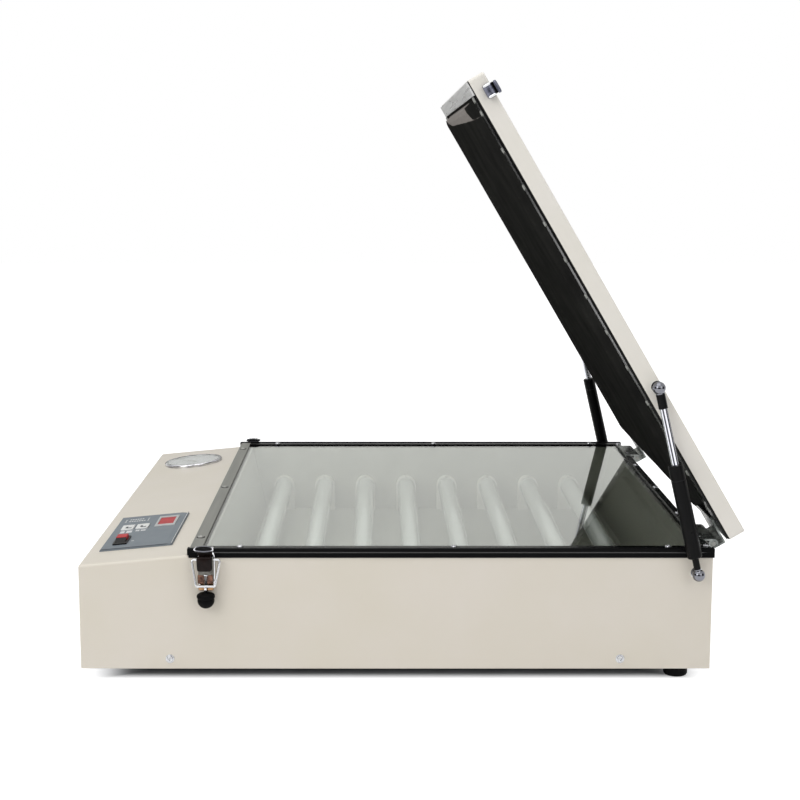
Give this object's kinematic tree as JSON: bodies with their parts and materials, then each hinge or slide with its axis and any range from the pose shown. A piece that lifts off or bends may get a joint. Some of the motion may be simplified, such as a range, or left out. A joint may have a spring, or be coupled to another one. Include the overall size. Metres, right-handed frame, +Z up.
{
  "type": "screen printing exposure unit",
  "caption": "Tabletop vacuum exposure unit: glass-topped light box with UV tubes, hinged rubber-blanket lid on gas struts, draw latches, timer panel and vacuum gauge.",
  "frame": {"origin": "under the middle of the whole unit as it stands with its lid open, on the surface it stands on", "axes": "+Z up, +Y from the operator's front to the lid's hinges, +X to the operator's right"},
  "size_m": [0.696, 0.7128, 0.6441],
  "materials": {
    "ivory_paint": "satin",
    "lid_paint": "satin",
    "black_paint": "gloss",
    "white_paint": "gloss",
    "bright_strip": "brushed",
    "plated_steel": "polished",
    "zinc_steel": "plated",
    "float_glass": "polished",
    "tube_glass": "coated",
    "black_rubber": "matte",
    "blanket_rubber": "satin",
    "white_plastic": "moulded",
    "panel_plastic": "moulded",
    "red_window": "polished",
    "black_plastic": "moulded",
    "dial_face": "printed",
    "board": "laminate",
    "pump_alloy": "cast"
  },
  "bodies": {
    "base": {"base_shell": "ivory_paint", "bottom_pan": "zinc_steel", "rear_panel": "ivory_paint", "feet": "black_rubber", "body_screws": "plated_steel", "power_inlet": "black_plastic", "light_box": "white_paint", "lampholders": "white_plastic", "ballasts": "zinc_steel", "glass_gasket": "black_rubber", "exposure_glass": "float_glass", "front_strip": "bright_strip", "rear_strip": "bright_strip", "side_bars": "black_paint", "edge_trims": "black_rubber", "frame_screws": "plated_steel", "control_plate": "panel_plastic", "display_bezel": "white_plastic", "display_window": "red_window", "rocker_frame": "black_plastic", "timer_board": "board", "gauge_case": "plated_steel", "gauge_dial": "dial_face", "gauge_lens": "float_glass", "vacuum_pump": "pump_alloy", "vacuum_hose": "black_rubber", "vacuum_port": "white_plastic", "hinge_base_leaves": "zinc_steel", "hinge_pins": "plated_steel", "strut_base_studs": "plated_steel", "latch_bases": "plated_steel", "uv_tube_1": "tube_glass", "uv_tube_2": "tube_glass", "uv_tube_3": "tube_glass", "uv_tube_4": "tube_glass", "uv_tube_5": "tube_glass", "uv_tube_6": "tube_glass", "uv_tube_7": "tube_glass", "uv_tube_8": "tube_glass"},
    "lid": {"lid_shell": "lid_paint", "rubber_blanket": "blanket_rubber", "lid_front_strip": "bright_strip", "blanket_clamp": "black_paint", "lid_screws": "plated_steel", "latch_keepers": "plated_steel", "strut_lid_studs": "plated_steel", "hinge_lid_leaves": "zinc_steel"},
    "strut_cylinder_right": {"strut_cylinder_right": "black_paint"},
    "strut_rod_right": {"strut_rod_right": "plated_steel"},
    "latch_lever_right": {"latch_lever_right": "plated_steel"},
    "latch_bail_right": {"latch_bail_right": "plated_steel"},
    "strut_cylinder_left": {"strut_cylinder_left": "black_paint"},
    "strut_rod_left": {"strut_rod_left": "plated_steel"},
    "latch_lever_left": {"latch_lever_left": "plated_steel"},
    "latch_bail_left": {"latch_bail_left": "plated_steel"},
    "timer_key": {"timer_key": "white_plastic"},
    "start_key": {"start_key": "white_plastic"},
    "rocker": {"rocker_switch": "black_plastic"},
    "pointer": {"gauge_pointer": "bright_strip"}
  },
  "joints": [
    {"name": "lid_hinge", "type": "hinge", "parent": "base", "child": "lid", "pos_m": [0, 0.3317, 0.1407], "axis": [1, 0, 0], "range_deg": [0, 59.4]},
    {"name": "strut_swing_right", "type": "hinge", "parent": "base", "child": "strut_cylinder_right", "pos_m": [0.34, 0.3057, 0.1188], "axis": [1, 0, 0], "range_deg": [0, 59]},
    {"name": "strut_stroke_right", "type": "slide", "parent": "strut_cylinder_right", "child": "strut_rod_right", "axis": [0, -0.2304, 0.9731], "range_m": [-0.0338, 0]},
    {"name": "latch_lever_right", "type": "hinge", "parent": "base", "child": "latch_lever_right", "pos_m": [0.335, -0.2188, 0.1345], "axis": [0, -1, 0], "range_deg": [0, 80]},
    {"name": "latch_bail_right", "type": "hinge", "parent": "latch_lever_right", "child": "latch_bail_right", "pos_m": [0.335, -0.2188, 0.1345], "axis": [0, -1, 0], "range_deg": [0, 70]},
    {"name": "strut_swing_left", "type": "hinge", "parent": "base", "child": "strut_cylinder_left", "pos_m": [-0.34, 0.3057, 0.1188], "axis": [1, 0, 0], "range_deg": [0, 59]},
    {"name": "strut_stroke_left", "type": "slide", "parent": "strut_cylinder_left", "child": "strut_rod_left", "axis": [0, -0.2304, 0.9731], "range_m": [-0.0338, 0]},
    {"name": "latch_lever_left", "type": "hinge", "parent": "base", "child": "latch_lever_left", "pos_m": [-0.335, -0.2188, 0.1345], "axis": [0, 1, 0], "range_deg": [0, 80]},
    {"name": "latch_bail_left", "type": "hinge", "parent": "latch_lever_left", "child": "latch_bail_left", "pos_m": [-0.335, -0.2188, 0.1345], "axis": [0, 1, 0], "range_deg": [0, 70]},
    {"name": "timer_key_press", "type": "slide", "parent": "base", "child": "timer_key", "axis": [0, 0.0949, -0.9955], "range_m": [0, 0.001], "stiffness_N_per_m": 300, "springref_m": -0.001},
    {"name": "start_key_press", "type": "slide", "parent": "base", "child": "start_key", "axis": [0, 0.0949, -0.9955], "range_m": [0, 0.001], "stiffness_N_per_m": 300, "springref_m": -0.001},
    {"name": "rocker_tilt", "type": "hinge", "parent": "base", "child": "rocker", "pos_m": [0.24, -0.32338, 0.1288], "axis": [0, -0.9955, -0.0949], "range_deg": [0, 18]},
    {"name": "pointer_turn", "type": "hinge", "parent": "base", "child": "pointer", "pos_m": [-0.231, -0.29846, 0.13299], "axis": [0, 0.0949, -0.9955], "range_deg": [0, 270], "stiffness_Nm_per_rad": 0.0005}
  ],
  "couplings": [
    {"joint": "strut_swing_right", "follows": "lid_hinge", "ratio": 0.99273},
    {"joint": "strut_stroke_right", "follows": "lid_hinge", "m_per_rad": -0.032507},
    {"joint": "strut_swing_left", "follows": "lid_hinge", "ratio": 0.99273},
    {"joint": "strut_stroke_left", "follows": "lid_hinge", "m_per_rad": -0.032507}
  ]
}
